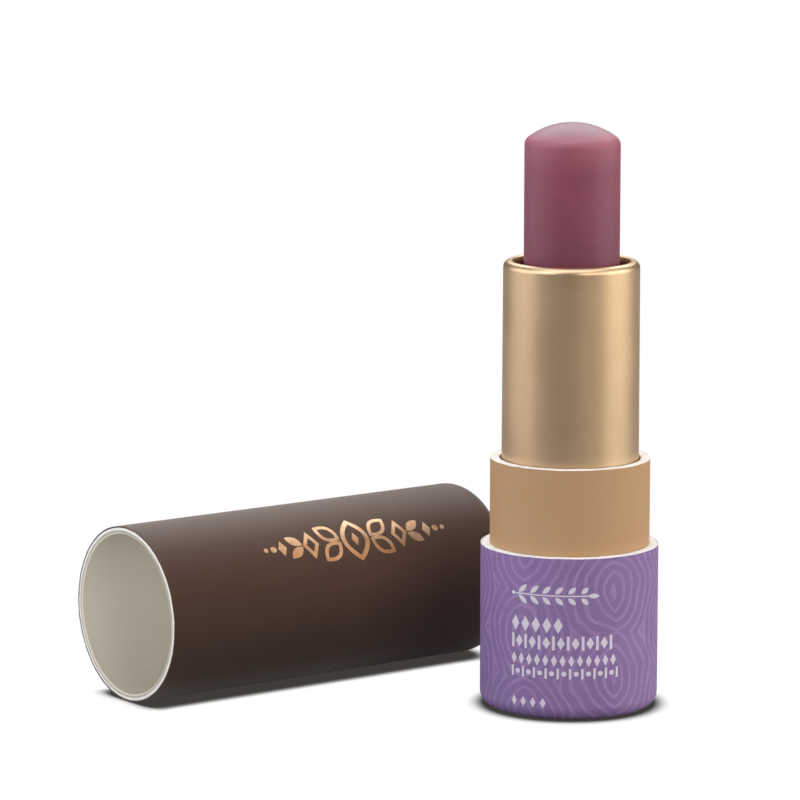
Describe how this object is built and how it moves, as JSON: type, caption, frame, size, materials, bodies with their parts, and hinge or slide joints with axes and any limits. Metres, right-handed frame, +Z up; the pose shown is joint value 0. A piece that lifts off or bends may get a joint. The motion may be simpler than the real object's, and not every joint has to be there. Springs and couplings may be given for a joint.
{
  "type": "lip balm stick",
  "caption": "Open twist-up lip balm stick in a paper tube with a metal shell, standing on its base beside its paper cap, which lies on its side.",
  "frame": {"origin": "centre of the base's underside, on the surface that the stick stands on", "axes": "+Z up the stick's axis; the lying cap's axis runs along X with its mouth towards -X, and the cap lies on the +Y side of the stick"},
  "size_m": [0.0568, 0.0561, 0.0744],
  "materials": {
    "board": "cut white board",
    "purple_paper": "matte printed paper",
    "tan_paper": "matte paper",
    "brown_paper": "matte paper",
    "lining_paper": "smooth paper",
    "gold_metal": "satin anodised",
    "brown_plastic": "moulded",
    "balm": "waxy"
  },
  "bodies": {
    "base": {"base_tube": "board", "base_wrap": "purple_paper", "base_end_disc": "purple_paper", "neck_tube": "board", "neck_wrap": "tan_paper", "mechanism_insert": "brown_plastic", "slotted_carrier": "brown_plastic"},
    "shell": {"gold_shell": "gold_metal", "spiral_sleeve": "brown_plastic"},
    "balm": {"balm_stick": "balm", "balm_cup": "brown_plastic"},
    "cap": {"cap_tube": "board", "cap_wrap": "brown_paper", "cap_liner": "lining_paper", "cap_end_disc": "brown_paper"}
  },
  "joints": [
    {"name": "shell_twist", "type": "hinge", "parent": "base", "child": "shell", "pos_m": [0, 0, 0.0319], "axis": [0, 0, -1], "range_deg": [-340.2, 99]},
    {"name": "balm_lift", "type": "slide", "parent": "base", "child": "balm", "axis": [0, 0, 1], "range_m": [-0.0189, 0.0055]},
    {"name": "cap_tip", "type": "hinge", "parent": "base", "child": "cap", "pos_m": [-0.0455, 0.0335, 0], "axis": [0, -1, 0], "range_deg": [0, 90]}
  ],
  "couplings": [
    {"joint": "shell_twist", "follows": "balm_lift", "rad_per_m": 314.16}
  ]
}
